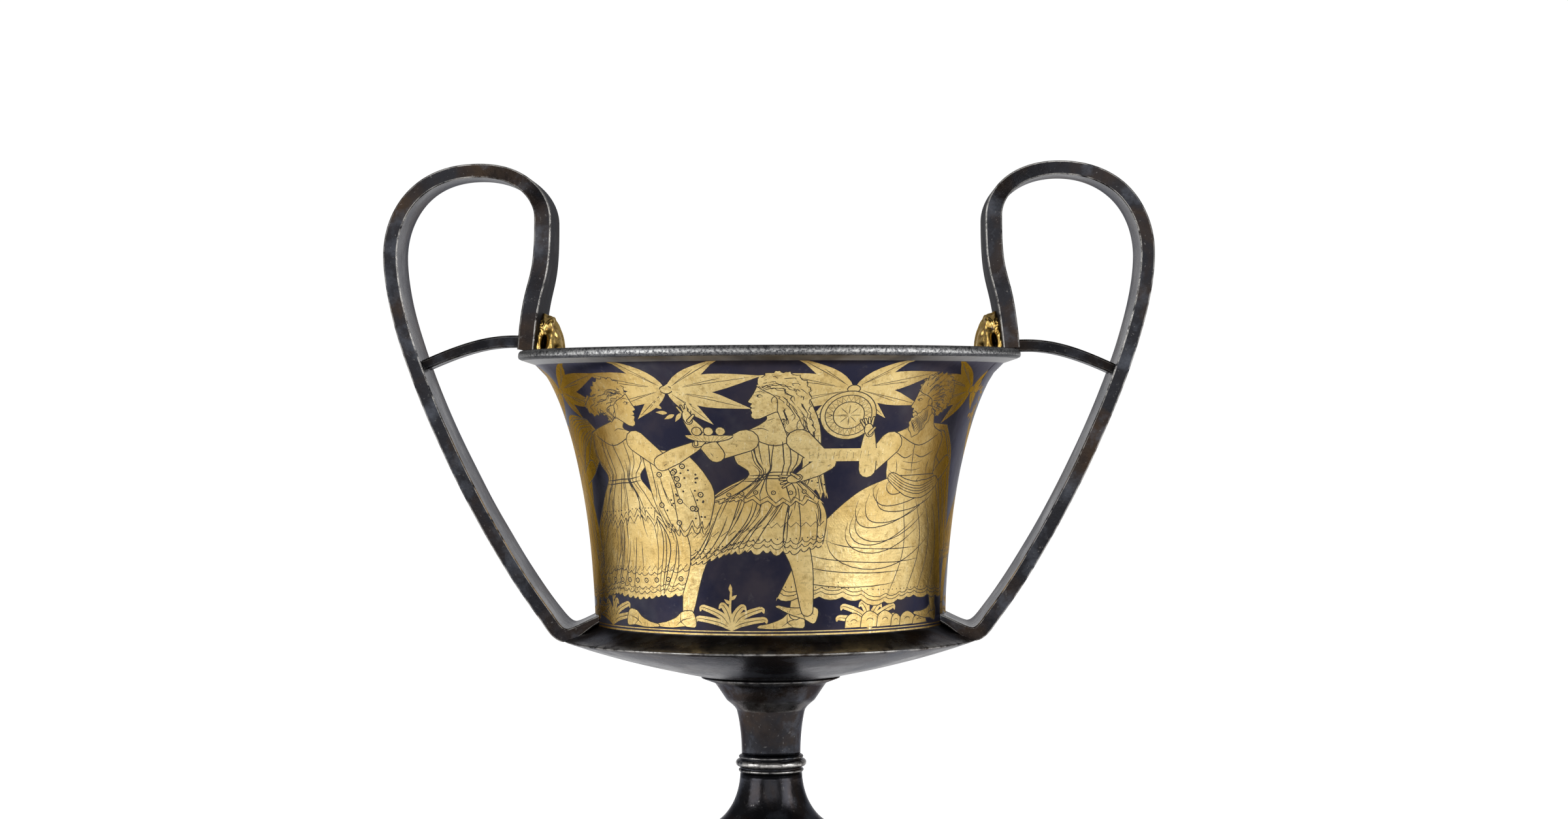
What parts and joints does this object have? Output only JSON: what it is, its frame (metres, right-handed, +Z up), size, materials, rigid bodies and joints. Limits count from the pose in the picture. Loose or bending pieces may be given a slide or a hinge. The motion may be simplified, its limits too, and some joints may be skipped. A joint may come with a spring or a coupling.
{
  "type": "two-handled silver drinking cup",
  "caption": "Stemmed silver kantharos with a flaring bowl, tall looped strap handles, thin cross struts and gilded masks at the rim.",
  "frame": {"origin": "centre of the foot's standing plane, on the cup's turning axis", "axes": "+Z up the turning axis, +X through the two handles, -Y to the side seen in the picture"},
  "size_m": [0.243, 0.16, 0.2178],
  "materials": {
    "dark_silver": "silver under a near-black patina, worn bright on the arrises",
    "worn_silver": "rubbed bright silver with dark specks",
    "gilded_silver": "leaf gilding with engraved lines over blue-black silver, bright worn rim",
    "gilding": "thick gilding with dark hollows"
  },
  "bodies": {
    "root": {"foot": "dark_silver", "stem_ring": "worn_silver", "stem": "dark_silver", "bowl": "gilded_silver", "handle_left": "dark_silver", "handle_right": "dark_silver", "strut_left": "dark_silver", "strut_right": "dark_silver", "mask_left": "gilding", "mask_right": "gilding"}
  },
  "joints": []
}
